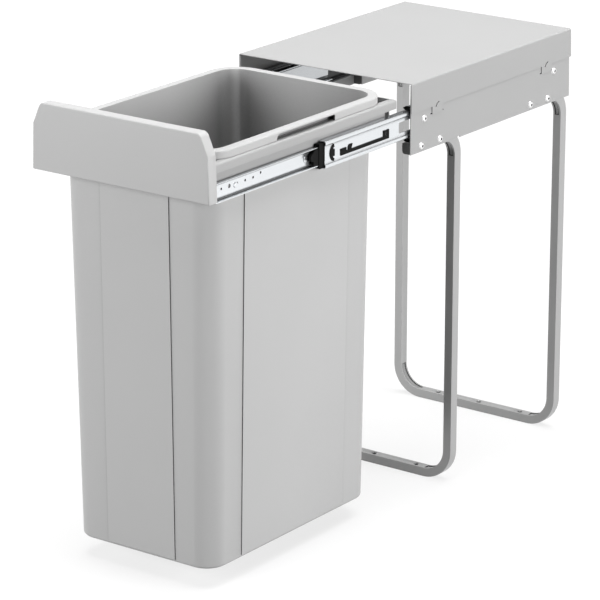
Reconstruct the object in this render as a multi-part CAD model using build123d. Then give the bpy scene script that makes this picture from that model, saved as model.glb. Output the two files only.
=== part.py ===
from build123d import *
import os

os.makedirs("parts", exist_ok=True)

# Pull-out waste bin on a free-standing frame, for the inside of a narrow base cabinet.
# Millimetres. +Z is up, +Y is towards the back of the cabinet and +X is to the right as
# seen from the front. The origin is the centre of the front floor rail's underside. The
# bin is drawn as it stands when it is pulled out to the end of its slides.

# Folded sheet box: a cover plate over two side panels
cover_width = 254.0
cover_depth = 350.0
cover_gauge = 1.0
cover_flange = 36.0
cover_overhang = 102.0       # front loop centre to the cover's front edge
cover_bend = 1.5
cover_lean = 1.5             # how far the flange's rear edge leans back to its foot
panel_gauge = 1.0
panel_drop = 0.5             # how far a side panel reaches below the arms
panel_setback = 2.5          # side panel's rear edge, in front of the cover's
panel_lean = 2.8
panel_notch = 5.0
notch_height = 1.5

# Tongues on the cover's flanges, whose toes are bent in through slots in the side panels
tongue_width = 22.0
tongue_length = 9.0          # below the flange's lower edge
tongue_corner = 1.5
toe_clearance = 0.3
slot_margin = 2.6            # slot, past each side of the tongue
front_tongue_place = 54.5    # behind the cover's front edge
rear_tongue_place = 55.5     # in front of the cover's rear edge
lance_width = 1.4            # crescent lance above each tongue
lance_reach = 6.5
lance_low = 2.0              # below the flange's lower edge
lance_high = 3.5             # above it
lance_bow = 2.0

# Leg loops, each one length of rectangular tube
tube_width = 11.0            # across the frame, and the height of the floor rails
tube_depth = 13.0            # along the frame, and the height of the arms
tube_wall = 1.5
loop_spacing = 238.0
arm_top = 455.0
arm_reach = 100.0            # loop centre forward to the end of its arms
foot_bend = 40.0             # outer radius
arm_bend = 35.0              # outer radius
dent_depth = 0.8
dent_margin = 2.5
plug_head = 2.0
plug_shank = 9.0
plug_corner = 4.0
plug_fit = 0.1

# Countersunk floor screw holes in each floor rail
floor_hole_radius = 2.25
floor_hole_spacing = 64.0
floor_hole_offset = 6.0      # middle hole, from the centre of the rail
countersink_radius = 4.2
countersink_depth = 1.2

# Pan head screws that hold the box on the arms and the slides in the box
screw_radius = 2.0
screw_head_radius = 4.4
screw_head_height = 2.2
screw_hole_clearance = 0.2
screw_nib = 1.0              # screw end, past what it holds
recess_span = 4.4            # cross recess for the driver
recess_width = 1.1
recess_depth = 1.2
head_round_share = 0.6
arm_screw_front = 20.4       # arm end to its first screw
arm_screw_spacing = 39.2
slide_screw_front = 22.0     # slide end to its screw
slide_screw_rear = 33.5
slide_screw_lift = 3.0

# Ball bearing slides: three rolled channels, one inside the other
slide_length = 340.0
slide_height = 43.0
slide_thickness = 12.7
slide_gauge = 1.2
slide_setback = 6.0          # behind the cover's front edge
slide_rise = 1.5             # above the arms
slide_bend = 1.6             # centre line of the rolled corners
lip_bend = 0.9
cabinet_flange = 9.0         # reach of the cabinet channel's flanges
cabinet_lip = 1.9
outer_ball_gap = 4.0
inner_ball_gap = 4.1
middle_bead = 2.2            # side panel to the middle channel's beads
middle_reach = 9.0           # width of the middle channel's flanges
middle_bead_height = 4.6
middle_web_step = 1.2        # web set back behind the beads
drawer_flange = 6.7          # reach of the drawer channel's flanges
drawer_lip = 0.8
lip_bend_share = 0.75
travel = 368.0
middle_travel = 171.0

# Ball cages
ball_clearance = 0.3
ball_hole_clearance = 0.2
cage_gauge = 0.5
cage_air = 0.25
ball_count = 5
ball_end_margin = 9.0
outer_ball_place = 5.8       # from the side panel
inner_ball_place = 8.6
outer_cage_length = 158.0
outer_cage_setback = 6.0     # behind the cabinet channel's front end, pulled out
inner_cage_length = 136.0
inner_cage_rear_margin = 6.0
cage_nose_length = 25.0      # ahead of the ball strips
cage_nose_neck = 7.0         # behind their front end
cage_nose_height = 18.0
cage_nose_bump = 4.0
cage_nose_recess = 5.5       # from the nose's tip to the notch under its bump
cage_core_depth = 4.0
cage_core_proud = 0.4        # beyond the drawer channel's lips
cage_ear_length = 10.0       # ahead of the ball strips
cage_ear_air = 0.4           # ear to the channels above and below it
cage_ear_chamfer = 1.1

# Front buffers on the cabinet channels
buffer_thickness = 4.0
buffer_tongue = 5.0
buffer_air = 0.6
buffer_point = 3.5

# Latch strip and latch lever in the middle channel's recess
latch_gauge = 1.0
latch_start = 30.0           # behind the middle channel's front end
latch_length = 96.0
latch_height = 4.0
latch_drop = 5.0             # below the slide's centre line
latch_comb_width = 11.0
latch_comb_height = 4.0      # above the bar
latch_gap = 3.6              # comb to the hook
latch_hook_width = 6.0
latch_hook_height = 6.0
latch_hook_lean = 2.5
latch_end_width = 11.0       # two upright teeth at the rear end
latch_end_height = 7.0
latch_end_slot = 2.2
lever_place = 13.0           # behind the middle channel's front end
lever_reach = 8.6
lever_width = 3.6
lever_bow = 4.0
lever_body = 8.4             # height of the lever's body
lever_back = 5.0             # pin to the body's straight rear edge
lever_boss = 3.4
lever_pin_radius = 1.2
lever_pin_fit = 0.05
lever_pin_reach = 0.6        # into the lever, which hides its end
middle_window_start = 21.0   # behind the latch strip
middle_window_length = 60.0
middle_window_height = 13.0
middle_window_corner = 2.0

# Drawer channel's fixing holes, from its front end
drawer_hole_radius = 1.5
drawer_slot_radius = 2.4
drawer_hole_start = 15.0
drawer_hole_spacing = 14.4
drawer_hole_count = 5
drawer_hole_lift = 1.5
extra_hole_gap = 14.0
extra_hole_lift = 4.0

# Carrier: two bent rails, a rear cross rail and the front panel
rail_gauge = 1.5
rail_lip_clearance = 3.5     # lip's lower edge above the slide
rail_lip_height = 10.4
rail_side_clearance = 3.0    # shelf to side panel
rail_end_gap = 2.0           # drawer channel's rear end to the rail's lip
rail_web_cutback = 10.0
rail_web_foot = 10.0         # web's lower edge, below the slide's centre line
rail_tab = 12.0
rail_tab_height = 26.0
rail_bend = 1.8
cross_rail_height = 30.0
cross_rail_foot = 8.0
rail_rivet_radius = 2.0
rail_rivet_head = 3.2
rail_rivet_height = 0.8
rail_rivet_fit = 0.05
rail_rivet_places_share = (0.12, 0.5, 0.88)

# Front panel, a moulded shell
front_width = 252.0
front_height = 79.0
front_thickness = 14.5
front_drop = 7.0             # panel's lower edge, below the slide's centre line
front_gap = 2.0              # panel to cover, closed
front_wall = 2.5
front_side_lean = 1.8        # each side, from the foot to the shoulder
front_shoulder = 54.0
front_slope_in = 9.5
front_slope_height = 21.5
front_slope_corner = 6.0
front_edge_radius = 1.6
front_rib = 1.8
front_rib_count = 3
front_boss_radius = 4.0
front_screw_radius = 1.6

# Bucket
rim_height = 9.6
rim_length = 340.4
rim_setback = 4.0            # rim's side, from the shelf's outer edge
rim_front_gap = 0.3
rim_corner = 40.0
rim_edge_radius = 2.0
rim_ledge = 10.5             # rim, from the body's end walls
lift_clearance = 4.0         # rim to the cover's underside
bucket_wall = 2.5
bucket_ground = 13.8         # bucket's floor above the floor rails
bucket_side_clearance = 1.8
bucket_side_taper = 8.0
bucket_end_taper = 4.4
bucket_top_corner = 28.0
bucket_foot_corner = 26.0
bucket_foot_radius = 4.0
pad_width = 98.0
pad_height = 1.0
side_pad_width = 198.0
grip_length = 110.0
grip_height = 7.2
grip_front_radius = 6.0
grip_rear_radius = 2.0
grip_place = 119.0           # behind the rim's front

overrun = 1.0                # how far cutting tools pass through a surface

# Places worked out from the sizes
cover_front = -cover_overhang
cover_rear = cover_front + cover_depth
cover_half = cover_width / 2
panel_outer = cover_half - cover_gauge
panel_inner = panel_outer - panel_gauge
arm_bottom = arm_top - tube_depth
panel_bottom = arm_bottom - panel_drop
loop_x = panel_inner - tube_width / 2
slide_front = cover_front + slide_setback
slide_rear = slide_front + slide_length
slide_z = arm_top + slide_rise + slide_height / 2
middle_height = slide_height - 2 * (slide_gauge + outer_ball_gap)
drawer_height = middle_height - 2 * (slide_gauge + inner_ball_gap)
middle_front = slide_front - middle_travel
drawer_front = slide_front - travel
drawer_rear = drawer_front + slide_length
web_x = panel_inner - slide_thickness
rail_x = web_x - rail_gauge
lip_bottom = slide_z + slide_height / 2 + rail_lip_clearance
shelf_top = lip_bottom + rail_lip_height
shelf_x = panel_inner - rail_side_clearance
rim_top = shelf_top + rim_height
cover_under = rim_top + lift_clearance
cover_top = cover_under + cover_gauge
flange_foot = cover_top - cover_flange
panel_top = cover_under - cover_bend + cover_gauge / 2
front_back_y = cover_front - front_gap - travel
rail_rear = drawer_rear - rail_end_gap
rim_front = front_back_y + rim_front_gap
bucket_y = rim_front + rim_length / 2
rim_half = shelf_x - rim_setback
bucket_half = rail_x - bucket_side_clearance
bucket_top_length = rim_length - 2 * rim_ledge
bucket_floor = tube_width + bucket_ground
arm_screw_z = arm_top - tube_depth / 2


def profile(points, bends, gauge, y_front, y_rear):
    """Sheet of even gauge, rolled to a centre line across the frame and run from front to rear."""
    line = FilletPolyline(*points, radius=bends)
    face = trace(line, gauge)
    plane = Plane(origin=(0, y_front, 0), x_dir=(1, 0, 0), z_dir=(0, -1, 0))
    return extrude(plane * face, amount=y_front - y_rear)


def across(u, v):
    """A place in a slide's section: u in from the side panel, v up from the slide's centre line."""
    return (panel_inner - u, slide_z + v)


def block(x0, x1, y0, y1, z0, z1):
    """Box between two corners."""
    middle = ((x0 + x1) / 2, (y0 + y1) / 2, (z0 + z1) / 2)
    return Pos(*middle) * Box(abs(x1 - x0), abs(y1 - y0), abs(z1 - z0))


def rod_x(x0, x1, y, z, radius):
    """Cylinder across the frame."""
    return Pos((x0 + x1) / 2, y, z) * Rot(0, 90, 0) * Cylinder(radius, abs(x1 - x0))


def rod_y(x, y0, y1, z, radius):
    """Cylinder along the frame."""
    return Pos(x, (y0 + y1) / 2, z) * Rot(90, 0, 0) * Cylinder(radius, abs(y1 - y0))


def rod_z(x, y, z0, z1, radius):
    """Upright cylinder."""
    return Pos(x, y, (z0 + z1) / 2) * Cylinder(radius, abs(z1 - z0))


def side_plate(points, x0, x1):
    """Flat plate in the side plane: an outline of (y, z) places, from x0 to x1."""
    plane = Plane(origin=(x0, 0, 0), x_dir=(0, 1, 0), z_dir=(1, 0, 0))
    return extrude(plane * make_face(Polyline(*points, close=True)), amount=x1 - x0)


def section_plate(points, y_front, y_rear):
    """Flat plate across the frame: an outline of (x, z) places, from front to rear."""
    plane = Plane(origin=(0, y_front, 0), x_dir=(1, 0, 0), z_dir=(0, -1, 0))
    return extrude(plane * make_face(Polyline(*points, close=True)), amount=y_front - y_rear)


def other_side(shape):
    """The same piece on the left."""
    return mirror(shape, about=Plane.YZ)


def write(shape, node):
    export_step(shape, f"parts/{node}.step")


def write_pair(shape, node):
    write(shape, f"{node}_right")
    write(other_side(shape), f"{node}_left")


def as_group(solids):
    return Compound(children=list(solids))


# Screw places on the right side, as (y, z)
front_arm_end = -arm_reach
rear_arm_end = loop_spacing - arm_reach
arm_screws = []
for arm_end in (front_arm_end, rear_arm_end):
    arm_screws.append((arm_end + arm_screw_front, arm_screw_z))
    arm_screws.append((arm_end + arm_screw_front + arm_screw_spacing, arm_screw_z))
slide_screws = [
    (slide_front + slide_screw_front, slide_z + slide_screw_lift),
    (slide_rear - slide_screw_rear, slide_z + slide_screw_lift),
]
tongue_places = (cover_front + front_tongue_place, cover_rear - rear_tongue_place)
loop_places = (0, loop_spacing)


def cover_plate():
    """Sheet cover with a flange folded down on each side; the flanges' rear edges lean back."""
    x = cover_half - cover_gauge / 2
    top = cover_top - cover_gauge / 2
    points = [(-x, flange_foot), (-x, top), (x, top), (x, flange_foot)]
    cover = profile(points, cover_bend, cover_gauge, cover_front, cover_rear + cover_lean)
    outline = [
        (cover_rear, cover_top + overrun),
        (cover_rear, cover_top - cover_bend),
        (cover_rear + cover_lean, flange_foot),
        (cover_rear + cover_lean, flange_foot - overrun),
        (cover_rear + cover_lean + overrun, flange_foot - overrun),
        (cover_rear + cover_lean + overrun, cover_top + overrun),
    ]
    cover -= side_plate(outline, -cover_half - overrun, cover_half + overrun)
    for y in tongue_places:
        tongue = cover_tongue(y)
        lance = tongue_lance(y)
        cover += [tongue, other_side(tongue)]
        cover -= [lance, other_side(lance)]
    return cover


def cover_tongue(y):
    """Tongue that runs down over the side panel from the flange, with its toe bent inwards."""
    foot = flange_foot - tongue_length
    half = tongue_width / 2
    tongue = block(panel_outer, cover_half, y - half, y + half, foot, flange_foot)
    tongue = fillet(tongue.edges().filter_by(Axis.X).group_by(Axis.Z)[0], tongue_corner)
    toe_half = half - tongue_corner
    toe = block(panel_inner, panel_outer, y - toe_half, y + toe_half, foot, foot + cover_gauge)
    return tongue + toe


def tongue_lance(y):
    """Crescent cut at the root of a tongue, which lets it bend."""
    low = (y - lance_reach / 2, flange_foot - lance_low)
    high = (y + lance_reach / 2, flange_foot + lance_high)
    middle = (y - lance_bow / 2, flange_foot + (lance_high - lance_low) / 2 + lance_bow / 2)
    plane = Plane(origin=(panel_outer - overrun, 0, 0), x_dir=(0, 1, 0), z_dir=(1, 0, 0))
    crescent = trace(ThreePointArc(low, middle, high), lance_width)
    return extrude(plane * crescent, amount=cover_gauge + 2 * overrun)


def side_panel():
    """Sheet side with its screw holes and the slots for the cover's tongues."""
    rear = cover_rear - panel_setback
    outline = [
        (cover_front, panel_bottom),
        (rear + panel_lean, panel_bottom),
        (rear, panel_top),
        (cover_front, panel_top),
    ]
    panel = side_plate(outline, panel_inner, panel_outer)
    hole = screw_radius + screw_hole_clearance
    for y, z in arm_screws + slide_screws:
        panel -= rod_x(panel_inner - overrun, panel_outer + overrun, y, z, hole)
    foot = flange_foot - tongue_length
    half = tongue_width / 2 + slot_margin
    through = (panel_inner - overrun, panel_outer + overrun)
    for y in tongue_places:
        slot = (y - half, y + half, foot - toe_clearance, foot + cover_gauge + toe_clearance)
        panel -= block(*through, *slot)
    notch = (-panel_notch / 2, panel_notch / 2, panel_bottom - overrun, arm_bottom + notch_height)
    return panel - block(*through, *notch)


def loop_path(y):
    """Centre line of a leg loop: arm, upright, floor rail, upright, arm."""
    rail_z = tube_width / 2
    points = [
        (loop_x, y - arm_reach, arm_screw_z),
        (loop_x, y, arm_screw_z),
        (loop_x, y, rail_z),
        (-loop_x, y, rail_z),
        (-loop_x, y, arm_screw_z),
        (-loop_x, y - arm_reach, arm_screw_z),
    ]
    arm = arm_bend - tube_depth / 2
    foot = foot_bend - tube_width / 2
    return FilletPolyline(*points, radius=[arm, foot, foot, arm])


def tube_sweep(path, width, depth):
    section = Plane(origin=path @ 0, x_dir=(1, 0, 0), z_dir=path % 0) * Rectangle(width, depth)
    return sweep(section, path=path)


def foot_dent(y, depth):
    """Hollow that the bending former presses into the inner side of a foot bend."""
    inner = foot_bend - tube_width
    middle = panel_inner - foot_bend
    ring = Pos(middle, y, foot_bend) * Rot(90, 0, 0) * Cylinder(inner + depth, tube_depth - 2 * dent_margin)
    corner = (y - tube_depth, y + tube_depth, 0, foot_bend)
    return ring & block(middle, panel_inner, *corner)


def arm_dent(y, depth):
    """The same hollow on the inner side of an arm's bend."""
    inner = arm_bend - tube_depth
    middle_y = y + tube_depth / 2 - arm_bend
    middle_z = arm_top - arm_bend
    half = tube_width / 2 - dent_margin
    ring = rod_x(loop_x - half, loop_x + half, middle_y, middle_z, inner + depth)
    return ring & block(loop_x - half, loop_x + half, middle_y, y + tube_depth, middle_z - overrun, arm_top)


def dents(y, depth):
    """All four hollows of a loop."""
    right = [foot_dent(y, depth), arm_dent(y, depth)]
    return right + [other_side(dent) for dent in right]


def leg_loop(y):
    path = loop_path(y)
    loop = tube_sweep(path, tube_width, tube_depth)
    bore = tube_sweep(path, tube_width - 2 * tube_wall, tube_depth - 2 * tube_wall)
    bore -= dents(y, dent_depth + tube_wall)
    loop -= dents(y, dent_depth) + [bore]
    for step in (-1, 0, 1):
        x = floor_hole_offset + step * floor_hole_spacing
        loop -= rod_z(x, y, -overrun, tube_width + overrun, floor_hole_radius)
        sink = Cone(floor_hole_radius, countersink_radius, countersink_depth)
        loop -= Pos(x, y, tube_width - countersink_depth / 2) * sink
    arm_holes = [place for place in arm_screws if y - arm_reach < place[0] < y]
    for hole_y, hole_z in arm_holes:
        hole = rod_x(loop_x, panel_inner + overrun, hole_y, hole_z, screw_radius + screw_hole_clearance)
        loop -= [hole, other_side(hole)]
    return loop


def tube_plug(y):
    """Plug in the front end of an arm: a head with one round corner, and a shank in the bore."""
    shank_x = tube_width / 2 - tube_wall - plug_fit
    shank_z = tube_depth / 2 - tube_wall - plug_fit
    head = block(loop_x - tube_width / 2, panel_inner, y - plug_head, y, arm_bottom, arm_top)
    inner_edges = head.edges().filter_by(Axis.Y).group_by(Axis.X)[0]
    head = fillet(inner_edges.group_by(Axis.Z)[0], plug_corner)
    shank_height = (arm_screw_z - shank_z, arm_screw_z + shank_z)
    shank = block(loop_x - shank_x, loop_x + shank_x, y, y + plug_shank, *shank_height)
    return head + shank


def pan_screw(y, z, seat, end):
    """Pan head screw in from the side: head on the seat, shank to the end, a driver recess."""
    head = rod_x(seat, seat + screw_head_height, y, z, screw_head_radius)
    rim = head.edges().filter_by(GeomType.CIRCLE).group_by(Axis.X)[-1]
    head = fillet(rim, screw_head_height * head_round_share)
    outer = seat + screw_head_height
    screw = head + rod_x(end, seat, y, z, screw_radius)
    long = recess_span / 2
    wide = recess_width / 2
    for half_y, half_z in ((long, wide), (wide, long)):
        screw -= block(outer - recess_depth, outer + overrun, y - half_y, y + half_y, z - half_z, z + half_z)
    return screw


def cabinet_channel():
    """Outer channel of a slide, open towards the bucket, screwed to the side panel."""
    web = slide_gauge / 2
    tip = cabinet_flange - slide_gauge / 2
    top = slide_height / 2 - slide_gauge / 2
    points = [
        across(tip, top - cabinet_lip),
        across(tip, top),
        across(web, top),
        across(web, -top),
        across(tip, -top),
        across(tip, cabinet_lip - top),
    ]
    bends = [lip_bend, slide_bend, slide_bend, lip_bend]
    channel = profile(points, bends, slide_gauge, slide_front, slide_rear)
    hole_x = (panel_inner - slide_gauge - overrun, panel_inner + overrun)
    for y, z in slide_screws:
        channel -= rod_x(*hole_x, y, z, screw_radius + screw_hole_clearance)
    return channel


def middle_channel():
    """Middle channel: its beads stand proud of the web, and its flanges point to the bucket."""
    bead = middle_bead + slide_gauge / 2
    web = bead + middle_web_step
    tip = middle_bead + middle_reach
    top = middle_height / 2 - slide_gauge / 2
    step = top - middle_bead_height
    points = [
        across(tip, top),
        across(bead, top),
        across(bead, step + middle_web_step),
        across(web, step),
        across(web, -step),
        across(bead, -step - middle_web_step),
        across(bead, -top),
        across(tip, -top),
    ]
    bends = [slide_bend, lip_bend, lip_bend, lip_bend, lip_bend, slide_bend]
    channel = profile(points, bends, slide_gauge, middle_front, middle_front + slide_length)
    hole_x = (panel_inner - web - slide_gauge, panel_inner)
    start = middle_front + latch_start + latch_length + middle_window_start
    half = middle_window_height / 2
    window = block(*hole_x, start, start + middle_window_length, slide_z - half, slide_z + half)
    channel -= fillet(window.edges().filter_by(Axis.X), middle_window_corner)
    channel -= rod_x(*hole_x, middle_front + lever_place, slide_z, lever_pin_radius)
    return channel


def drawer_channel():
    """Inner channel of a slide, open towards the side panel, riveted to the carrier rail."""
    web = slide_thickness - slide_gauge / 2
    tip = slide_thickness - drawer_flange + slide_gauge / 2
    top = drawer_height / 2 - slide_gauge / 2
    points = [
        across(tip, top + drawer_lip),
        across(tip, top),
        across(web, top),
        across(web, -top),
        across(tip, -top),
        across(tip, -top - drawer_lip),
    ]
    bends = [drawer_lip * lip_bend_share, slide_bend, slide_bend, drawer_lip * lip_bend_share]
    channel = profile(points, bends, slide_gauge, drawer_front, drawer_rear)
    hole_x = (web_x - overrun, web_x + slide_gauge + overrun)
    start = drawer_front + drawer_hole_start
    for number in range(drawer_hole_count):
        radius = drawer_slot_radius if number == 1 else drawer_hole_radius
        place = start + number * drawer_hole_spacing
        channel -= rod_x(*hole_x, place, slide_z + drawer_hole_lift, radius)
    last = start + (drawer_hole_count - 1) * drawer_hole_spacing + extra_hole_gap
    channel -= rod_x(*hole_x, last, slide_z + extra_hole_lift, drawer_hole_radius)
    for y in rivet_places():
        channel -= rod_x(*hole_x, y, slide_z, rail_rivet_radius + rail_rivet_fit)
    return channel


def rivet_places():
    return [drawer_front + share * slide_length for share in rail_rivet_places_share]


def ball_places(front, length):
    """Even places along a ball strip."""
    pitch = (length - 2 * ball_end_margin) / (ball_count - 1)
    return [front + ball_end_margin + number * pitch for number in range(ball_count)]


def ball_row_pair(front, length, u, v, gap):
    """Two rows of balls, above and below the slide's centre line."""
    radius = gap / 2 - ball_clearance
    balls = []
    for y in ball_places(front, length):
        for side in (-1, 1):
            x, z = across(u, side * v)
            balls.append(Pos(x, y, z) * Sphere(radius))
    return balls


def ball_cage(front, length, bridge_u, tip_u, ball_u, v, gap):
    """Strip cage: a bridge between two ball strips, pierced for the balls."""
    bridge = bridge_u + cage_gauge / 2
    points = [across(tip_u, v), across(bridge, v), across(bridge, -v), across(tip_u, -v)]
    cage = profile(points, lip_bend, cage_gauge, front, front + length)
    hole = gap / 2 - ball_clearance + ball_hole_clearance
    for y in ball_places(front, length):
        x, z = across(ball_u, 0)
        cage -= rod_z(x, y, slide_z - slide_height / 2, slide_z + slide_height / 2, hole)
    return cage


outer_ball_v = middle_height / 2 + outer_ball_gap / 2
inner_ball_v = drawer_height / 2 + inner_ball_gap / 2
outer_cage_front = slide_front + outer_cage_setback
inner_cage_front = drawer_rear - inner_cage_rear_margin - inner_cage_length
outer_bridge = slide_gauge + cage_air
inner_bridge = middle_bead + middle_web_step + slide_gauge + cage_air


def outer_cage():
    tip = outer_ball_place + outer_ball_gap / 2 - ball_clearance
    balls = (outer_ball_place, outer_ball_v, outer_ball_gap)
    return ball_cage(outer_cage_front, outer_cage_length, outer_bridge, tip, *balls)


def inner_cage():
    """Inner ball cage, with the moulded nose that looks out of the middle channel's front end."""
    tip = inner_ball_place + inner_ball_gap / 2 - ball_clearance
    balls = (inner_ball_place, inner_ball_v, inner_ball_gap)
    return ball_cage(inner_cage_front, inner_cage_length, inner_bridge, tip, *balls) + cage_nose()


def cage_nose():
    """Moulded front end of the inner cage: a core inside the drawer channel, a bridge and two ears."""
    half = cage_nose_height / 2
    bump = cage_nose_bump / 2
    rear = inner_cage_front + cage_nose_neck
    tip = inner_cage_front - cage_nose_length
    notch = tip + cage_nose_recess
    outline = [
        (rear, slide_z - half),
        (rear, slide_z + half),
        (notch + bump, slide_z + half),
        (notch, slide_z + half - bump),
        (tip + bump / 2, slide_z + 2 * bump),
        (tip, slide_z + bump),
        (tip, slide_z - bump / 2),
        (tip + bump / 2, slide_z - bump),
        (notch, slide_z - 2 * bump),
        (notch, slide_z - half),
    ]
    x_out = panel_inner - inner_bridge
    lips_x = panel_inner - slide_thickness + drawer_flange
    core = side_plate(outline, x_out - cage_core_depth, lips_x + cage_core_proud)
    ear_front = inner_cage_front - cage_ear_length
    ear_top = middle_height / 2 - slide_gauge - cage_ear_air
    ear_foot = drawer_height / 2 + cage_ear_air
    plate = block(x_out - cage_gauge, x_out, ear_front, rear, slide_z - ear_top, slide_z + ear_top)
    joint = block(lips_x, x_out, ear_front, rear, slide_z - half, slide_z + half)
    nose = core + plate + joint
    ear_x = panel_inner - inner_ball_place - inner_ball_gap / 2
    for side in (-1, 1):
        ear = block(ear_x, x_out, ear_front, rear, slide_z + side * ear_foot, slide_z + side * ear_top)
        front_edges = ear.edges().filter_by(Axis.X).group_by(Axis.Y)[0]
        nose += chamfer(front_edges, cage_ear_chamfer)
    return nose


def front_buffer():
    """Plastic buffers on a cabinet channel's front end, pointed like arrows, with tongues behind the lips."""
    inner_v = middle_height / 2 + buffer_air
    outer_v = slide_height / 2
    tongue_v = outer_v - slide_gauge
    tongue_out = slide_gauge + slide_bend
    tongue_in = cabinet_flange - slide_gauge - lip_bend
    pieces = []
    for side in (-1, 1):
        arrow = [
            across(0, side * inner_v),
            across(slide_thickness - buffer_air - buffer_point, side * inner_v),
            across(slide_thickness - buffer_air, side * (inner_v + outer_v) / 2),
            across(slide_thickness - buffer_air - buffer_point, side * outer_v),
            across(0, side * outer_v),
        ]
        head = section_plate(arrow, slide_front - buffer_thickness, slide_front)
        tongue = [
            across(tongue_out, side * inner_v),
            across(tongue_in, side * inner_v),
            across(tongue_in, side * tongue_v),
            across(tongue_out, side * tongue_v),
        ]
        pieces.append(head + section_plate(tongue, slide_front, slide_front + buffer_tongue))
    return pieces


def latch_strip():
    """Plastic latch strip in the recess of the middle channel's web: comb, hook, bar and two end teeth."""
    x_in = panel_inner - middle_bead - middle_web_step
    x_out = x_in + latch_gauge
    start = middle_front + latch_start
    end = start + latch_length
    low = slide_z - latch_drop - latch_height / 2
    top = low + latch_height
    hook = start + latch_comb_width + latch_gap
    hook_top = top + latch_hook_height
    teeth = end - latch_end_width
    outline = [
        (start, low),
        (start, top + latch_comb_height),
        (start + latch_comb_width, top + latch_comb_height),
        (start + latch_comb_width, top),
        (hook, top),
        (hook, hook_top - latch_hook_lean),
        (hook + latch_hook_lean, hook_top),
        (hook + latch_hook_width + latch_hook_lean, hook_top),
        (hook + latch_hook_width, top),
        (teeth, top),
        (teeth, top + latch_end_height),
        (end, top + latch_end_height),
        (end, low),
    ]
    middle = (teeth + end) / 2
    slot = (middle - latch_end_slot / 2, middle + latch_end_slot / 2, top, top + latch_end_height + overrun)
    return side_plate(outline, x_in, x_out) - block(x_in - overrun, x_out + overrun, *slot)


def latch_lever():
    """Bow-shaped lever that turns on a pin through the middle channel's web."""
    x_in = panel_inner - middle_bead - middle_web_step
    y = middle_front + lever_place
    tips = [(y + lever_bow, slide_z + lever_reach), (y + lever_bow, slide_z - lever_reach)]
    middle = (y - lever_bow / 2, slide_z)
    plane = Plane(origin=(x_in, 0, 0), x_dir=(0, 1, 0), z_dir=(1, 0, 0))
    bow = extrude(plane * trace(ThreePointArc(tips[0], middle, tips[1]), lever_width), amount=latch_gauge)
    half = lever_body / 2
    body = block(x_in, x_in + latch_gauge, y, y + lever_back, slide_z - half, slide_z + half)
    lever = bow + body + rod_x(x_in, x_in + latch_gauge, y, slide_z, lever_boss)
    socket = x_in + lever_pin_reach + lever_pin_fit
    return lever - rod_x(x_in - overrun, socket, y, slide_z, lever_pin_radius + lever_pin_fit)


def lever_pin():
    """Pin riveted in the web, which the lever turns on."""
    x_in = panel_inner - middle_bead - middle_web_step
    y = middle_front + lever_place
    return rod_x(x_in - slide_gauge, x_in + lever_pin_reach, y, slide_z, lever_pin_radius)


def carrier_rail():
    """Bent rail: a web against the drawer channel, a shelf for the bucket's rim and a lip."""
    web = rail_x + rail_gauge / 2
    lip = shelf_x - rail_gauge / 2
    shelf = shelf_top - rail_gauge / 2
    foot = slide_z - rail_web_foot
    points = [(web, foot), (web, shelf), (lip, shelf), (lip, lip_bottom)]
    rail = profile(points, rail_bend, rail_gauge, front_back_y, rail_rear)
    cut = (rail_x - overrun, web_x, rail_rear - rail_web_cutback, rail_rear + overrun)
    rail -= block(*cut, foot - overrun, shelf_top + overrun)
    tab_rear = front_back_y + rail_gauge
    rail += block(rail_x - rail_tab, rail_x, front_back_y, tab_rear, foot, foot + rail_tab_height)
    screw_x, screw_z = panel_screw_place()
    screw_hole = front_screw_radius + screw_hole_clearance
    rail -= rod_y(screw_x, front_back_y - overrun, tab_rear + overrun, screw_z, screw_hole)
    for y in rivet_places():
        rail -= rod_x(rail_x - overrun, web_x + overrun, y, slide_z, rail_rivet_radius + rail_rivet_fit)
    return rail


def panel_screw_place():
    return rail_x - rail_tab / 2, slide_z - rail_web_foot + rail_tab_height / 2


def cross_rail():
    """Rear cross rail: a thin sheet on edge between the two side rails, with ears under their shelves."""
    front = rail_rear - rail_gauge
    foot = shelf_top - cross_rail_height
    deep = block(-web_x, web_x, front, rail_rear, foot, shelf_top)
    flange = block(-web_x, web_x, front - cross_rail_foot, front, foot, foot + rail_gauge)
    ear_x = shelf_x - rail_gauge
    ears = block(-ear_x, ear_x, front, rail_rear, lip_bottom, shelf_top - rail_gauge - rail_bend)
    return deep + flange + ears


def rivet(y):
    """Rivet through the drawer channel's web and the rail's web."""
    shank = rod_x(rail_x, web_x + slide_gauge, y, slide_z, rail_rivet_radius)
    inner = rod_x(rail_x - rail_rivet_height, rail_x, y, slide_z, rail_rivet_head)
    outer = rod_x(web_x + slide_gauge, web_x + slide_gauge + rail_rivet_height, y, slide_z, rail_rivet_head)
    return shank + inner + outer


def panel_screw():
    """Screw from the tab into the front panel's boss."""
    x, z = panel_screw_place()
    seat = front_back_y + rail_gauge
    head = rod_y(x, seat, seat + screw_head_height, z, screw_head_radius)
    shank = rod_y(x, front_back_y - front_thickness / 2, seat, z, front_screw_radius)
    return head + shank


def front_outline(inset):
    """Half outline of the front panel, mirrored: foot, leaning side, slope, rounded top."""
    foot = slide_z - front_drop + inset
    top = slide_z - front_drop + front_height - inset
    foot_x = front_width / 2 - inset
    shoulder_x = front_width / 2 - front_side_lean - inset
    shoulder_z = slide_z - front_drop + front_shoulder
    slope_x = shoulder_x - front_slope_in
    points = [
        (-foot_x, foot),
        (foot_x, foot),
        (shoulder_x, shoulder_z),
        (slope_x, min(shoulder_z + front_slope_height, top)),
        (slope_x - (top - shoulder_z - front_slope_height), top),
        (-slope_x + (top - shoulder_z - front_slope_height), top),
        (-slope_x, min(shoulder_z + front_slope_height, top)),
        (-shoulder_x, shoulder_z),
    ]
    return points


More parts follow.
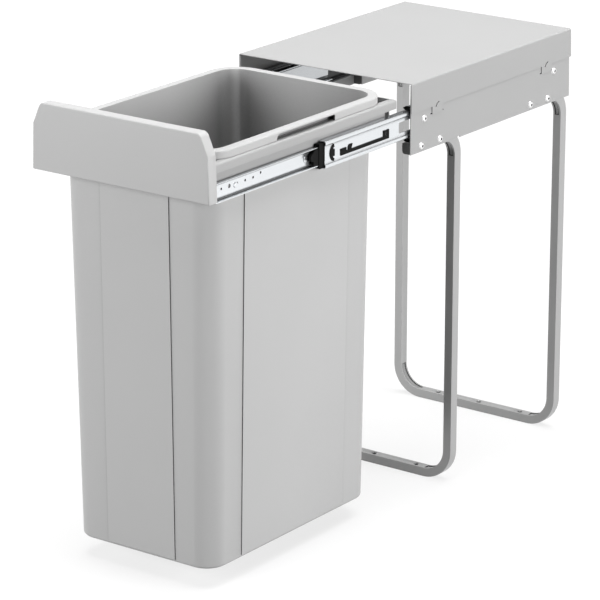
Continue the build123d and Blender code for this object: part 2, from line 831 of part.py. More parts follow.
def front_panel():
    """Moulded front panel: an open-backed shell with ribs and two screw bosses."""
    front_y = front_back_y - front_thickness
    panel = section_plate(front_outline(0), front_y, front_back_y)
    upright = panel.edges().filter_by(Axis.Y)
    top_corners = upright.group_by(Axis.Z)[-1] + upright.group_by(Axis.Z)[-2]
    panel = fillet(top_corners, front_slope_corner)
    face_edges = panel.faces().sort_by(Axis.Y)[0].edges()
    panel = fillet(face_edges, front_edge_radius)
    panel -= section_plate(front_outline(front_wall), front_y + front_wall, front_back_y + overrun)
    foot = slide_z - front_drop + front_wall
    top = slide_z - front_drop + front_height - front_wall
    pitch = (front_width - 2 * front_wall) / (front_rib_count + 1)
    rib_y = (front_y + front_wall / 2, front_back_y - front_wall)
    rib_z = (foot - front_wall / 2, top + front_wall / 2)
    for number in range(front_rib_count):
        x = (number - (front_rib_count - 1) / 2) * pitch
        panel += block(x - front_rib / 2, x + front_rib / 2, *rib_y, *rib_z)
    x, z = panel_screw_place()
    for side in (-1, 1):
        panel += rod_y(side * x, front_y + front_wall / 2, front_back_y, z, front_boss_radius)
        screw_end = front_back_y - front_thickness / 2
        panel -= rod_y(side * x, screw_end, front_back_y + overrun, z, front_screw_radius)
    return panel


def tapered_box(width_top, length_top, width_foot, length_foot, corner_top, corner_foot, z_foot, z_top):
    """Loft from a rounded rectangle at the foot to a larger one at the top."""
    foot = Pos(0, bucket_y, z_foot) * RectangleRounded(width_foot, length_foot, corner_foot)
    top = Pos(0, bucket_y, z_top) * RectangleRounded(width_top, length_top, corner_top)
    return loft([foot, top])


def bucket_body(inset, z_foot):
    """The bucket's tapered outside, or its inside when inset by the wall."""
    foot_half = bucket_half - bucket_side_taper
    foot_length = bucket_top_length - 2 * bucket_end_taper
    return tapered_box(
        2 * (bucket_half - inset),
        bucket_top_length - 2 * inset,
        2 * (foot_half - inset),
        foot_length - 2 * inset,
        bucket_top_corner - inset,
        bucket_foot_corner - inset,
        z_foot,
        rim_top,
    )


def bucket_pad(width, length):
    """Upright pad that stands proud of two opposite walls and tapers with them."""
    top = Pos(0, bucket_y, shelf_top) * Rectangle(width[1], length[1])
    foot = Pos(0, bucket_y, bucket_floor + bucket_foot_radius) * Rectangle(width[0], length[0])
    return loft([foot, top])


def bucket():
    """Moulded bucket: tapered body with raised pads, a hollow rim and two grip cut-outs."""
    body = bucket_body(0, bucket_floor)
    body = fillet(body.faces().sort_by(Axis.Z)[0].edges(), bucket_foot_radius)
    foot_half = bucket_half - bucket_side_taper
    foot_length = bucket_top_length - 2 * bucket_end_taper
    lengths = (foot_length + 2 * pad_height, bucket_top_length + 2 * pad_height)
    widths = (2 * (foot_half + pad_height), 2 * (bucket_half + pad_height))
    body += bucket_pad((pad_width, pad_width), lengths)
    body += bucket_pad(widths, (side_pad_width, side_pad_width))
    rim_outline = RectangleRounded(2 * rim_half, rim_length, rim_corner)
    rim = Pos(0, bucket_y, shelf_top) * extrude(rim_outline, amount=rim_height)
    rim = fillet(rim.faces().sort_by(Axis.Z)[-1].edges(), rim_edge_radius)
    channel_size = (2 * (rim_half - bucket_wall), rim_length - 2 * bucket_wall)
    channel = Pos(0, bucket_y, shelf_top - overrun) * extrude(
        RectangleRounded(*channel_size, rim_corner - bucket_wall), amount=rim_height - bucket_wall + overrun
    )
    shell = body + (rim - channel) - bucket_body(bucket_wall, bucket_floor + bucket_wall)
    return shell - [grip_cut(1), grip_cut(-1)]


def grip_cut(side):
    """Finger opening in the rim's skirt, with a wide curve at its front end."""
    front = rim_front + grip_place
    x0, x1 = sorted((side * (rim_half - bucket_wall - overrun), side * (rim_half + overrun)))
    opening = block(x0, x1, front, front + grip_length, shelf_top - overrun, shelf_top + grip_height)
    top_edges = opening.edges().filter_by(Axis.X).group_by(Axis.Z)[-1].sort_by(Axis.Y)
    opening = fillet(top_edges[0], grip_front_radius)
    top_edges = opening.edges().filter_by(Axis.X).group_by(Axis.Z)[-1].sort_by(Axis.Y)
    return fillet(top_edges[-1], grip_rear_radius)


write(cover_plate(), "cover_plate")
write_pair(side_panel(), "side_panel")
for name, place in zip(("front", "rear"), loop_places):
    write(leg_loop(place), f"{name}_leg_loop")
plugs = [tube_plug(front_arm_end), tube_plug(rear_arm_end)]
write(as_group(plugs + [other_side(plug) for plug in plugs]), "arm_end_plugs")
arm_fixings = [pan_screw(y, z, panel_outer, panel_inner - tube_wall - screw_nib) for y, z in arm_screws]
slide_fixings = [pan_screw(y, z, panel_outer, panel_inner - slide_gauge) for y, z in slide_screws]
write_pair(as_group(arm_fixings), "arm_screws")
write_pair(as_group(slide_fixings), "slide_screws")
write_pair(cabinet_channel(), "cabinet_channel")
write_pair(middle_channel(), "middle_channel")
write_pair(drawer_channel(), "drawer_channel")
write_pair(outer_cage(), "outer_ball_cage")
write_pair(inner_cage(), "inner_ball_cage")
outer_balls = ball_row_pair(outer_cage_front, outer_cage_length, outer_ball_place, outer_ball_v, outer_ball_gap)
inner_balls = ball_row_pair(inner_cage_front, inner_cage_length, inner_ball_place, inner_ball_v, inner_ball_gap)
write_pair(as_group(outer_balls), "outer_balls")
write_pair(as_group(inner_balls), "inner_balls")
write_pair(as_group(front_buffer()), "front_buffer")
write_pair(latch_strip(), "latch_strip")
write_pair(latch_lever(), "latch_lever")
write_pair(lever_pin(), "lever_pin")
write_pair(carrier_rail(), "carrier_rail")
write(cross_rail(), "rear_cross_rail")
rivets = [rivet(y) for y in rivet_places()]
write_pair(as_group(rivets), "rail_rivets")
write(front_panel(), "front_panel")
write(as_group([panel_screw(), other_side(panel_screw())]), "panel_screws")
write(bucket(), "bucket")
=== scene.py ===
from math import pi, radians

import bmesh
import bpy
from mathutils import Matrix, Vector


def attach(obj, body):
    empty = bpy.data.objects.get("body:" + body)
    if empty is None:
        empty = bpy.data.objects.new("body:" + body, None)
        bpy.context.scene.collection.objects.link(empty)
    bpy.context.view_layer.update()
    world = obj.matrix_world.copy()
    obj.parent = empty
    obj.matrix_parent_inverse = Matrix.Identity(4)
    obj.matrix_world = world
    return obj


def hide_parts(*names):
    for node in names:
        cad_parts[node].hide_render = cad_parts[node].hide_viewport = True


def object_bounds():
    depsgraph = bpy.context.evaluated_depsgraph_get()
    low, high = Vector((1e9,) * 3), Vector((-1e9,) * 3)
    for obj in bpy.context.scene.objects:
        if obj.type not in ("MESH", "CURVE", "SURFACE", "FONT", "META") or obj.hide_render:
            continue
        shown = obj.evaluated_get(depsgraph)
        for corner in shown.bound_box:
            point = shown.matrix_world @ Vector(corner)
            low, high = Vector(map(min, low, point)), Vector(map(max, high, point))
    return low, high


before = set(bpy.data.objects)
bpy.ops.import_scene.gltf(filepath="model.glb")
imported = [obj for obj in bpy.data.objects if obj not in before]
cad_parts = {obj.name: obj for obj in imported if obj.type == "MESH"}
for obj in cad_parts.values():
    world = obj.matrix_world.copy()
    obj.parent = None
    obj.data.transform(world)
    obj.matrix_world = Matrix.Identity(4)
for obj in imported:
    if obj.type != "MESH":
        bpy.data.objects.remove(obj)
cad_low, cad_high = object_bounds()

# The viewpoint: a long lens from the front right, above the cover and looking down on it, as in the
# photograph. The lens isn't shifted, so upright edges draw together a little towards the floor.
look_down = radians(18.02)
turn_left = radians(36.39)
camera_data = bpy.data.cameras.new("camera")
camera_data.sensor_width = 36.0
camera_data.lens = 200.5
camera_data.clip_end = 50
camera = bpy.data.objects.new("camera", camera_data)
camera.location = (2.2678, -3.2268, 1.4949)
camera.rotation_euler = (pi / 2 - look_down, 0, turn_left)
bpy.context.scene.collection.objects.link(camera)
bpy.context.scene.camera = camera
bpy.context.scene.view_settings.view_transform = "Standard"

# The studio: four soft square lamps around the frame, a pale surround and a pale floor. The camera
# and mirroring metal see surround and floor as white. For other rays the surround is dim and the
# floor doesn't glow, so the frame keeps its shading and its soft shadow.
surround_dimmed = 0.10
floor_half = 30
floor_grey = 0.24
glow_near = 0.73
glow_near_reach = 1.0
glow_full_reach = 4.0


def grey(level):
    """A neutral colour of one level."""
    return (level, level, level, 1)


def fill(tree, node, inputs):
    """Gives inputs of a node, by name or number, a plain value or another node's output."""
    for label, term in inputs.items():
        if isinstance(term, bpy.types.NodeSocket):
            tree.links.new(term, node.inputs[label])
        else:
            node.inputs[label].default_value = term
    return node


def tree_node(tree, kind, inputs):
    """Adds a node to a tree and fills its inputs."""
    return fill(tree, tree.nodes.new(kind), inputs)


def maths(tree, operation, *terms):
    """Adds a Math node with plain numbers or other nodes' outputs as its terms."""
    node = tree.nodes.new("ShaderNodeMath")
    node.operation = operation
    return fill(tree, node, dict(enumerate(terms))).outputs["Value"]


def vector_maths(tree, operation, *terms):
    """Adds a Vector Math node and returns its outputs, one of which the operation uses."""
    node = tree.nodes.new("ShaderNodeVectorMath")
    node.operation = operation
    return fill(tree, node, dict(enumerate(terms))).outputs


def looked_at(tree):
    """1 for rays from the camera, a mirror or a clear piece, 0 for the other rays."""
    ray = tree.nodes.new("ShaderNodeLightPath").outputs
    straight = maths(tree, "MAXIMUM", ray["Is Camera Ray"], ray["Is Glossy Ray"])
    return maths(tree, "MAXIMUM", straight, ray["Is Transmission Ray"])


def softbox(name, place, size, power):
    """Square area lamp that faces the middle of the frame."""
    lamp = bpy.data.lights.new(name, "AREA")
    lamp.size = size
    lamp.energy = power
    lamp_object = bpy.data.objects.new(name, lamp)
    lamp_object.location = place
    lamp_object.rotation_euler = (middle - Vector(place)).to_track_quat("-Z", "Y").to_euler()
    bpy.context.scene.collection.objects.link(lamp_object)


world = bpy.data.worlds.new("studio")
bpy.context.scene.world = world
world.use_nodes = True
sky = world.node_tree
surround = tree_node(sky, "ShaderNodeMapRange", {"Value": looked_at(sky), "To Min": surround_dimmed})
fill(sky, sky.nodes["Background"], {"Color": grey(1), "Strength": surround.outputs["Result"]})

middle = (Vector(cad_low) + Vector(cad_high)) / 2
softbox("softbox_above", place=(0.2, 0.1, 2.8), size=2.4, power=108)
softbox("softbox_right", place=(3.7, 0.5, 0.9), size=1.6, power=142)
softbox("softbox_front", place=(-1.3, -3.4, 1.2), size=1.8, power=110)
softbox("softbox_left", place=(-3.4, 1.2, 1.0), size=1.8, power=60)

corners = [(x * floor_half, y * floor_half, 0) for x, y in ((-1, -1), (1, -1), (1, 1), (-1, 1))]
floor_mesh = bpy.data.meshes.new("studio_floor")
floor_mesh.from_pydata(corners, [], [(0, 1, 2, 3)])
studio_floor = bpy.data.objects.new("studio_floor", floor_mesh)
bpy.context.scene.collection.objects.link(studio_floor)

floor_material = bpy.data.materials.new("studio_floor")
floor_material.use_nodes = True
floor_tree = floor_material.node_tree
floor_place = floor_tree.nodes.new("ShaderNodeTexCoord").outputs["Object"]
glow_range = {
    "Value": vector_maths(floor_tree, "LENGTH", floor_place)["Value"],
    "From Min": glow_near_reach,
    "From Max": glow_full_reach,
    "To Min": glow_near,
}
glow = tree_node(floor_tree, "ShaderNodeMapRange", glow_range)
glow.interpolation_type = "SMOOTHSTEP"
floor_looks = {
    "Base Color": grey(floor_grey),
    "Roughness": 1.0,
    "Specular IOR Level": 0.0,
    "Emission Color": grey(1),
    "Emission Strength": maths(floor_tree, "MULTIPLY", glow.outputs["Result"], looked_at(floor_tree)),
}
fill(floor_tree, floor_tree.nodes["Principled BSDF"], floor_looks)
floor_mesh.materials.append(floor_material)

# Cover plate and side panels: folded sheet steel with a fine powder coat. Painted highlight lightens the
# folded and cut edges, and painted shade darkens the seams, such as the ring round each screw head. The
# cover's tongues pass through slots in the panels, and the panels are screwed to the arms of the legs.
sheet_grey = grey(0.32)
sheet_highlight_grey = grey(0.50)
sheet_edge = 0.00022


def add_inputs(tree, inputs):
    """Adds named inputs to a tree, each with its usual value."""
    kinds = {float: "NodeSocketFloat", int: "NodeSocketInt", tuple: "NodeSocketVector"}
    for name, value in inputs.items():
        socket = tree.interface.new_socket(name, in_out="INPUT", socket_type=kinds[type(value)])
        socket.default_value = value


def shader_group(name, inputs, outputs):
    """Shader node group with named inputs and outputs."""
    tree = bpy.data.node_groups.new(name, "ShaderNodeTree")
    add_inputs(tree, inputs)
    for label in outputs:
        tree.interface.new_socket(label, in_out="OUTPUT", socket_type="NodeSocketFloat")
    return tree, tree.nodes.new("NodeGroupInput").outputs, tree.nodes.new("NodeGroupOutput")


def edge_group():
    """Masks of painted highlight on the edges, of painted shade in the narrow seams and of painted shade
    in the deeper hollows.
    """
    edge_inputs = {"Breakup Scale": 300.0, "Edge Width": 0.0005}
    seam_inputs = {"Seam Reach": 0.003, "Seam Closed": 0.25}
    hollow_inputs = {"Hollow Reach": 0.1, "Hollow Closed": 0.84}
    inputs = edge_inputs | seam_inputs | hollow_inputs
    tree, given, result = shader_group("highlight_and_shade", inputs, ("Mask", "Seam", "Hollow"))
    place = tree.nodes.new("ShaderNodeTexCoord").outputs["Object"]
    true_normal = tree.nodes.new("ShaderNodeNewGeometry").outputs["Normal"]
    # Painted highlight on the edges: where the rounded normal leaves the true one.
    rounded = tree_node(tree, "ShaderNodeBevel", {"Radius": given["Edge Width"]})
    rounded.samples = 4
    agreement = vector_maths(tree, "DOT_PRODUCT", rounded.outputs["Normal"], true_normal)["Value"]
    edge_range = {"Value": agreement, "From Min": 0.995, "From Max": 0.90}
    edge = tree_node(tree, "ShaderNodeMapRange", edge_range)
    breakup = tree_node(tree, "ShaderNodeTexNoise", {"Vector": place, "Scale": given["Breakup Scale"]})
    broken = maths(tree, "MULTIPLY", edge.outputs["Result"], breakup.outputs["Fac"])
    fill(tree, result, {"Mask": broken})
    # Painted shade in narrow seams and deeper hollows, stronger the more closed they are.
    for mask, open_level in (("Seam", 0.75), ("Hollow", 0.995)):
        openness = tree_node(tree, "ShaderNodeAmbientOcclusion", {"Distance": given[f"{mask} Reach"]})
        openness.samples = 8
        openness.only_local = mask == "Hollow"
        closed_range = {
            "Value": openness.outputs["AO"],
            "From Min": given[f"{mask} Closed"],
            "From Max": open_level,
            "To Min": 1.0,
            "To Max": 0.0,
        }
        closed = tree_node(tree, "ShaderNodeMapRange", closed_range)
        fill(tree, result, {mask: closed.outputs["Result"]})
    return tree


def grain_group():
    """Fine grain: a height for the bump and a slow tint around 1 for the colour."""
    inputs = {"Grain Scale": 1500.0, "Tint Scale": 9.0, "Tint Depth": 0.03, "Stretch": (1.0, 1.0, 1.0)}
    tree, given, result = shader_group("fine_grain", inputs, ("Height", "Tint"))
    place = tree.nodes.new("ShaderNodeTexCoord").outputs["Object"]
    stretched = vector_maths(tree, "MULTIPLY", place, given["Stretch"])["Vector"]
    fine_inputs = {"Vector": stretched, "Scale": given["Grain Scale"], "Detail": 3.0}
    slow_inputs = {"Vector": place, "Scale": given["Tint Scale"], "Detail": 2.0}
    fine = tree_node(tree, "ShaderNodeTexNoise", fine_inputs)
    slow = tree_node(tree, "ShaderNodeTexNoise", slow_inputs)
    centred = maths(tree, "SUBTRACT", slow.outputs["Fac"], 0.5)
    tint = maths(tree, "MULTIPLY_ADD", centred, given["Tint Depth"], 1.0)
    fill(tree, result, {"Height": fine.outputs["Fac"], "Tint": tint})
    return tree


def placed_group(tree, group, inputs):
    """Places a shader node group in a material and fills its inputs."""
    node = tree.nodes.new("ShaderNodeGroup")
    node.node_tree = group
    return fill(tree, node, inputs)


def blended(tree, mask, first, second):
    """Colour that goes from the first to the second with the mask."""
    node = tree.nodes.new("ShaderNodeMix")
    node.data_type = "RGBA"
    return fill(tree, node, {"Factor": mask, "A": first, "B": second}).outputs["Result"]


highlight_and_shade = edge_group()
fine_grain = grain_group()
painted_shade_grey = grey(0.01)
relief_depth = 0.0001


def finish_material(
    name, colour, highlight_colour, roughness, metallic=0.0, specular=0.5, grain=1500.0, relief=0.2, tint=0.06,
    stretch=(1.0, 1.0, 1.0), seam=0.8, seam_reach=0.003, hollow=0.0, hollow_reach=0.1, hollow_closed=0.84,
    facing_shade=None, facing_shade_depth=0.0,
):
    """A surface with fine grain, a slow change of tint, painted highlight on the edges and painted shade
    in seams and hollows.

    A further shader node group can give a mask of where more painted shade lies.
    """
    material = bpy.data.materials.new(name)
    material.use_nodes = True
    tree = material.node_tree
    grain_inputs = {"Grain Scale": grain, "Tint Depth": tint, "Stretch": stretch}
    highlight_and_shade_inputs = {"Seam Reach": seam_reach, "Hollow Reach": hollow_reach, "Hollow Closed": hollow_closed}
    fine = placed_group(tree, fine_grain, grain_inputs)
    highlight_and_shade_masks = placed_group(tree, highlight_and_shade, highlight_and_shade_inputs)
    # Painted shade: seams, hollows and the extra group's faces go towards a near black.
    dark = maths(tree, "MULTIPLY", highlight_and_shade_masks.outputs["Seam"], seam)
    if hollow:
        deep = maths(tree, "MULTIPLY", highlight_and_shade_masks.outputs["Hollow"], hollow)
        dark = maths(tree, "MAXIMUM", deep, dark)
    if facing_shade:
        facing_shaded = placed_group(tree, facing_shade, {"Depth": facing_shade_depth})
        dark = maths(tree, "MAXIMUM", facing_shaded.outputs["Mask"], dark)
    # Painted highlight: the edges go towards a lighter colour.
    highlighted = blended(tree, highlight_and_shade_masks.outputs["Mask"], colour, highlight_colour)
    shaded = blended(tree, dark, highlighted, painted_shade_grey)
    shade_inputs = {"Color": shaded, "Value": fine.outputs["Tint"]}
    bump_inputs = {"Strength": relief, "Distance": relief_depth, "Height": fine.outputs["Height"]}
    looks = {
        "Base Color": tree_node(tree, "ShaderNodeHueSaturation", shade_inputs).outputs["Color"],
        "Metallic": metallic,
        "Roughness": maths(tree, "MULTIPLY", fine.outputs["Tint"], roughness),
        "Specular IOR Level": specular,
        "Normal": tree_node(tree, "ShaderNodeBump", bump_inputs).outputs["Normal"],
    }
    fill(tree, tree.nodes["Principled BSDF"], looks)
    return material


def fitted_piece(mesh, node, material, body):
    """Links a finished mesh, gives it its material, ties it to its body and hides its CAD node."""
    piece = bpy.data.objects.new(f"{node}_finish", mesh)
    bpy.context.scene.collection.objects.link(piece)
    mesh.materials.clear()
    mesh.materials.append(material)
    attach(piece, body)
    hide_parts(node)
    return piece


def dressed(node, material, body, edge):
    """A node's own shape with its facets joined, its sharp edges rounded and its curves smooth."""
    same_point = 0.000002
    same_plane = radians(0.6)
    smooth_up_to = radians(32)
    rounded_from = radians(40)
    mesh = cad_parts[node].data.copy()
    shape = bmesh.new()
    shape.from_mesh(mesh)
    bmesh.ops.remove_doubles(shape, verts=shape.verts, dist=same_point)
    bmesh.ops.dissolve_limit(shape, angle_limit=same_plane, verts=shape.verts, edges=shape.edges)
    shape.to_mesh(mesh)
    shape.free()
    mesh.shade_smooth()
    mesh.set_sharp_from_angle(angle=smooth_up_to)
    piece = fitted_piece(mesh, node, material, body)
    rounding = piece.modifiers.new("rounding", "BEVEL")
    rounding.width = edge
    rounding.segments = 2
    rounding.limit_method = "ANGLE"
    rounding.angle_limit = rounded_from
    rounding.harden_normals = True


powder_coat = finish_material(
    "powder_coat", sheet_grey, sheet_highlight_grey, roughness=0.48, grain=1800.0, relief=0.3, seam=0.95,
    seam_reach=0.004,
)
for sheet in ("cover_plate", "side_panel_right", "side_panel_left"):
    dressed(sheet, powder_coat, "root", sheet_edge)

# Leg loops: one rectangular steel tube each, bent cold and coated in silver grey, with two arms that
# are screwed to the side panels. The coat is metallic, so the faces that look down and forward
# stay dark.
tube_edge = 0.0009
# The tube's holes and other hollows get painted shade.
tube_coat = finish_material(
    "tube_coat", grey(0.37), grey(0.55), roughness=0.3, metallic=0.4, grain=2500.0, hollow=0.97,
    hollow_reach=0.01,
)
for loop in ("front_leg_loop", "rear_leg_loop"):
    dressed(loop, tube_coat, "root", tube_edge)

# Plugs: dark grey plastic mouldings that are pushed into the front ends of the arms and close the
# open tube there.
plug_edge = 0.0004
dark_plastic = finish_material(
    "dark_plastic", grey(0.12), grey(0.3), roughness=0.5, specular=0.2, grain=3000.0
)
dressed("arm_end_plugs", dark_plastic, "root", plug_edge)

# Screws: nickelled steel pan heads with a cross recess, driven through the side panels into the arms
# and the slides. Each is turned to its own angle, as it was left.
panel_face_x = 0.126
arm_middles = (-0.060, 0.178)
arm_screw_spacing = 0.0392
arm_screw_z = 0.4485
arm_screw_length = 0.0035
slide_z = 0.478
slide_screw_z = slide_z + 0.003
slide_screw_places = (-0.074, 0.2105)
slide_screw_length = 0.0022
# Painted shade darkens the driver's cross and the screws' other hollows.
screw_plate = finish_material(
    "screw_plate", grey(0.80), grey(0.9), roughness=0.3, metallic=1.0, grain=900.0, relief=0.1,
    hollow=0.95, hollow_reach=0.003,
)


def places_tree(name, inputs):
    """Geometry Nodes tree that takes a mesh of places and named sizes and puts out a mesh."""
    tree = bpy.data.node_groups.new(name, "GeometryNodeTree")
    tree.interface.new_socket("Geometry", in_out="INPUT", socket_type="NodeSocketGeometry")
    tree.interface.new_socket("Geometry", in_out="OUTPUT", socket_type="NodeSocketGeometry")
    add_inputs(tree, inputs)
    return tree, tree.nodes.new("NodeGroupInput").outputs, tree.nodes.new("NodeGroupOutput")


def end_tree(tree, result, instances, material):
    """Ends a tree: instances made real, one material."""
    real = tree_node(tree, "GeometryNodeRealizeInstances", {"Geometry": instances})
    painting = {"Geometry": real.outputs["Geometry"], "Material": material}
    painted = tree_node(tree, "GeometryNodeSetMaterial", painting)
    fill(tree, result, {"Geometry": painted.outputs["Geometry"]})


def grown(places, tree, sizes, node, material, body):
    """Runs a tree on a set of places and keeps the result as a plain mesh on a body."""
    points = bpy.data.meshes.new(f"{node}_places")
    points.from_pydata(places, [], [])
    holder = bpy.data.objects.new(f"{node}_places", points)
    bpy.context.scene.collection.objects.link(holder)
    grower = holder.modifiers.new("grower", "NODES")
    grower.node_group = tree
    for item in tree.interface.items_tree:
        if item.name in sizes:
            grower[item.identifier] = sizes[item.name]
    evaluated = holder.evaluated_get(bpy.context.evaluated_depsgraph_get())
    mesh = bpy.data.meshes.new_from_object(evaluated)
    mesh.name = f"{node}_finish"
    bpy.data.objects.remove(holder)
    fitted_piece(mesh, node, material, body)


def vector(tree, parts):
    """Vector of the named parts; the others are 0."""
    return tree_node(tree, "ShaderNodeCombineXYZ", parts).outputs["Vector"]


def moved(tree, mesh, offset):
    """A mesh moved by a vector."""
    inputs = {"Geometry": mesh, "Translation": offset}
    return tree_node(tree, "GeometryNodeTransform", inputs).outputs["Geometry"]


def screw_tree():
    """Pan head screws on points: a bevelled disc with a low dome, a driver's cross and a shank."""
    head_sizes = {"Head Radius": 0.0044, "Head Height": 0.0022}
    cross_sizes = {"Cross Width": 0.0014, "Cross Span": 0.0034}
    shank_sizes = {"Shank Radius": 0.002, "Shank Length": arm_screw_length}
    placing = {"Facing": (0.0, pi / 2, 0.0), "Seed": 3}
    inputs = head_sizes | cross_sizes | shank_sizes | placing
    tree, given, result = places_tree("pan_head_screws", inputs)
    # The head has a radius and a height of 1 until it gets its size.
    disc_sizes = {"Vertices": 48, "Radius Top": 0.88, "Radius Bottom": 1.0, "Depth": 0.62}
    disc = tree_node(tree, "GeometryNodeMeshCone", disc_sizes)
    ball = tree_node(tree, "GeometryNodeMeshUVSphere", {"Segments": 48, "Rings": 24, "Radius": 1.0})
    flattening = {"Geometry": ball.outputs["Mesh"], "Translation": (0, 0, 0.6), "Scale": (0.87, 0.87, 0.4)}
    dome = tree_node(tree, "GeometryNodeTransform", flattening)
    head = tree.nodes.new("GeometryNodeMeshBoolean")
    head.operation = "UNION"
    tree.links.new(disc.outputs["Mesh"], head.inputs["Mesh 2"])
    tree.links.new(dome.outputs["Geometry"], head.inputs["Mesh 2"])
    head_size = {"X": given["Head Radius"], "Y": given["Head Radius"], "Z": given["Head Height"]}
    sizing = {"Geometry": head.outputs["Mesh"], "Scale": vector(tree, head_size)}
    sized = tree_node(tree, "GeometryNodeTransform", sizing)
    crossed = tree.nodes.new("GeometryNodeMeshBoolean")
    crossed.operation = "DIFFERENCE"
    tree.links.new(sized.outputs["Geometry"], crossed.inputs["Mesh 1"])
    top = vector(tree, {"Z": given["Head Height"]})
    for along, across in (("X", "Y"), ("Y", "X")):
        bar_size = {along: given["Cross Span"], across: given["Cross Width"], "Z": given["Head Height"]}
        bar = tree_node(tree, "GeometryNodeMeshCube", {"Size": vector(tree, bar_size)})
        tree.links.new(moved(tree, bar.outputs["Mesh"], top), crossed.inputs["Mesh 2"])
    rod_sizes = {"Vertices": 32, "Radius": given["Shank Radius"], "Depth": given["Shank Length"]}
    rod = tree_node(tree, "GeometryNodeMeshCylinder", rod_sizes)
    sunk = vector(tree, {"Z": maths(tree, "MULTIPLY", given["Shank Length"], -0.5)})
    whole = tree.nodes.new("GeometryNodeJoinGeometry")
    tree.links.new(crossed.outputs["Mesh"], whole.inputs["Geometry"])
    tree.links.new(moved(tree, rod.outputs["Mesh"], sunk), whole.inputs["Geometry"])
    turn = tree_node(tree, "FunctionNodeRandomValue", {"Seed": given["Seed"]})
    turn.data_type = "FLOAT_VECTOR"
    fill(tree, turn, {"Min": (0, 0, 0), "Max": (0, 0, pi)})
    seating = {
        "Points": given["Geometry"],
        "Instance": whole.outputs["Geometry"],
        "Rotation": given["Facing"],
    }
    seated = tree_node(tree, "GeometryNodeInstanceOnPoints", seating)
    turning = {"Instances": seated.outputs["Instances"], "Rotation": turn.outputs["Value"]}
    turned = tree_node(tree, "GeometryNodeRotateInstances", turning)
    end_tree(tree, result, turned.outputs["Instances"], screw_plate)
    return tree


pan_heads = screw_tree()
arm_screw_places = [arm + end * arm_screw_spacing / 2 for arm in arm_middles for end in (-1, 1)]
for side, sign in (("right", 1), ("left", -1)):
    face = sign * panel_face_x
    facing = (0.0, sign * pi / 2, 0.0)
    arm_points = [(face, y, arm_screw_z) for y in arm_screw_places]
    slide_points = [(face, y, slide_screw_z) for y in slide_screw_places]
    arm_sizes = {"Facing": facing, "Shank Length": arm_screw_length, "Seed": 3}
    slide_sizes = {"Facing": facing, "Shank Length": slide_screw_length, "Seed": 8}
    grown(arm_points, pan_heads, arm_sizes, f"arm_screws_{side}", screw_plate, "root")
    grown(slide_points, pan_heads, slide_sizes, f"slide_screws_{side}", screw_plate, "root")

# Slide channels: three a side, one inside the other, rolled from zinc plated strip, which leaves fine
# lines along them. The cabinet channel is screwed to the side panel. Painted shade darkens the inner faces
# of the cabinet and drawer channels strongly and those of the middle ones a little, and all zinc gets
# painted shade in its grooves and painted highlight on its edges.
zinc_edge = 0.0002
zinc_colour = (0.71, 0.73, 0.75, 1)
zinc_highlight_colour = (0.84, 0.85, 0.87, 1)
rolled_lines = (1.0, 0.02, 1.0)


def inner_group():
    """Mask of the faces that look to the middle of the frame, where painted shade darkens them."""
    tree, given, result = shader_group("inner_faces", {"Depth": 1.0}, ("Mask",))
    place = tree.nodes.new("ShaderNodeTexCoord").outputs
    where = tree_node(tree, "ShaderNodeSeparateXYZ", {"Vector": place["Object"]})
    facing = tree_node(tree, "ShaderNodeSeparateXYZ", {"Vector": place["Normal"]})
    side_sign = maths(tree, "SIGN", where.outputs["X"])
    outward = maths(tree, "MULTIPLY", side_sign, facing.outputs["X"])
    inner_range = {"Value": outward, "From Min": -0.3, "From Max": -0.8}
    inner = tree_node(tree, "ShaderNodeMapRange", inner_range)
    fill(tree, result, {"Mask": maths(tree, "MULTIPLY", inner.outputs["Result"], given["Depth"])})
    return tree


def zinc_material(name, inner_shade):
    """Zinc plated strip with rolled lines along the slide and painted shade on its inner faces."""
    return finish_material(
        name, zinc_colour, zinc_highlight_colour, roughness=0.25, metallic=0.95, grain=700.0, relief=0.12,
        stretch=rolled_lines, hollow=0.85, hollow_reach=0.0035, facing_shade=inner_faces, facing_shade_depth=inner_shade,
    )


inner_faces = inner_group()
zinc_plate = zinc_material("zinc_plate", 0.95)
zinc_less_shaded_inside = zinc_material("zinc_less_shaded_inside", 0.25)
for side in ("right", "left"):
    dressed(f"cabinet_channel_{side}", zinc_plate, "root", zinc_edge)
    dressed(f"middle_channel_{side}", zinc_less_shaded_inside, f"middle_slide_{side}", zinc_edge)
    dressed(f"drawer_channel_{side}", zinc_plate, "carrier", zinc_edge)

# Outer ball cages: bent from thin zinc plated strip, with a hole for each ball. They lie loose
# between the cabinet channels and the middle channels and roll along with the balls.
cage_edge = 0.0001
for side in ("right", "left"):
    dressed(f"outer_ball_cage_{side}", zinc_plate, f"outer_cage_{side}", cage_edge)

# Inner ball cages and buffers: moulded in black plastic. The cages run between the middle and the
# drawer channels and end in a nose that looks out in front. The buffers sit on the front ends of
# the cabinet channels, two a side.
buffer_edge = 0.0003
black_plastic = finish_material(
    "black_plastic", grey(0.006), grey(0.02), roughness=0.5, specular=0.05, grain=3000.0
)
for side in ("right", "left"):
    dressed(f"inner_ball_cage_{side}", black_plastic, f"inner_cage_{side}", cage_edge)
    dressed(f"front_buffer_{side}", black_plastic, "root", buffer_edge)

# Balls: polished steel, held loose in the holes of the cages, in two rows of five in each cage. They
# run in the grooves of the channels.
balls_in_row = 5
cage_end_margin = 0.009
outer_ball_radius = 0.0017
outer_ball_x = 0.1192
outer_cage_front = -0.090
outer_ball_pitch = 0.035
outer_row_height = 0.0183
inner_ball_radius = 0.00175
inner_ball_x = 0.1164
inner_cage_front = -0.266
inner_ball_pitch = 0.0295
inner_row_height = 0.01305
ball_steel = finish_material(
    "ball_steel", (0.86, 0.86, 0.87, 1), grey(0.9), roughness=0.08, metallic=1.0, grain=500.0, relief=0.03
)


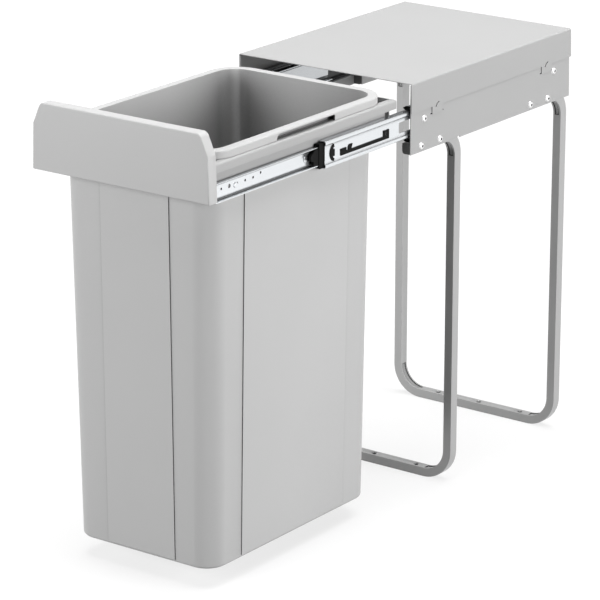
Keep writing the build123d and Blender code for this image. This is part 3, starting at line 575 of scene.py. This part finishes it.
def ball_tree():
    """Polished balls on points."""
    tree, given, result = places_tree("bearing_balls", {"Radius": outer_ball_radius})
    ball_sizes = {"Segments": 32, "Rings": 20, "Radius": given["Radius"]}
    ball = tree_node(tree, "GeometryNodeMeshUVSphere", ball_sizes)
    smooth = tree_node(tree, "GeometryNodeSetShadeSmooth", {"Geometry": ball.outputs["Mesh"]})
    seating = {"Points": given["Geometry"], "Instance": smooth.outputs["Geometry"]}
    seated = tree_node(tree, "GeometryNodeInstanceOnPoints", seating)
    end_tree(tree, result, seated.outputs["Instances"], ball_steel)
    return tree


def ball_places(x, cage_front, pitch, row_height):
    """Places of the balls in one cage: a lower and an upper row along the slide."""
    along = [cage_front + cage_end_margin + number * pitch for number in range(balls_in_row)]
    return [(x, y, slide_z + height) for y in along for height in (-row_height, row_height)]


balls = ball_tree()
outer_size = {"Radius": outer_ball_radius}
inner_size = {"Radius": inner_ball_radius}
for side, sign in (("right", 1), ("left", -1)):
    outer = ball_places(sign * outer_ball_x, outer_cage_front, outer_ball_pitch, outer_row_height)
    inner = ball_places(sign * inner_ball_x, inner_cage_front, inner_ball_pitch, inner_row_height)
    for cage, places, size in (("outer", outer, outer_size), ("inner", inner, inner_size)):
        node = f"{cage}_balls_{side}"
        grown(places, balls, size, node, ball_steel, f"{cage}_cage_{side}")

# Latch strips, levers and pins: each strip of black plastic lies in the recess of a middle channel.
# Each lever of black plastic turns at that channel's front end, on a pin of zinc plated steel.
latch_edge = 0.0002
for side in ("right", "left"):
    dressed(f"latch_strip_{side}", black_plastic, f"middle_slide_{side}", latch_edge)
    dressed(f"lever_pin_{side}", zinc_plate, f"middle_slide_{side}", latch_edge)
    dressed(f"latch_lever_{side}", black_plastic, f"latch_lever_{side}", latch_edge)

# Carrier: two rails and a rear cross rail, bent from the same coated sheet as the box. Zinc plated
# rivets join the rails to the drawer channels.
rivet_edge = 0.0002
for rail in ("carrier_rail_right", "carrier_rail_left", "rear_cross_rail"):
    dressed(rail, powder_coat, "carrier", sheet_edge)
for side in ("right", "left"):
    dressed(f"rail_rivets_{side}", zinc_plate, "carrier", rivet_edge)

# Front panel: moulded in grey plastic with a fine spark-eroded grain, open at the back. Nickelled
# screws hold it to the tabs at the front of the carrier's rails.
moulding_edge = 0.0004
panel_screw_edge = 0.0002
# The plastic's hollows, such as the bucket's inside corners, get painted shade deeper in, and its edges
# get painted highlight.
grey_plastic = finish_material(
    "grey_plastic", grey(0.41), grey(0.62), roughness=0.5, specular=0.35, grain=2200.0, tint=0.04,
    hollow=0.85, hollow_reach=0.12, hollow_closed=0.45,
)
dressed("front_panel", grey_plastic, "carrier", moulding_edge)
dressed("panel_screws", screw_plate, "carrier", panel_screw_edge)

# Bucket: one moulding in the same grey plastic, which hangs on the carrier's rails by its rim. It
# tapers to its floor, its walls have raised pads, and its rim is hollow underneath, with an
# opening for the fingers on each side.
dressed("bucket", grey_plastic, "bucket", moulding_edge)
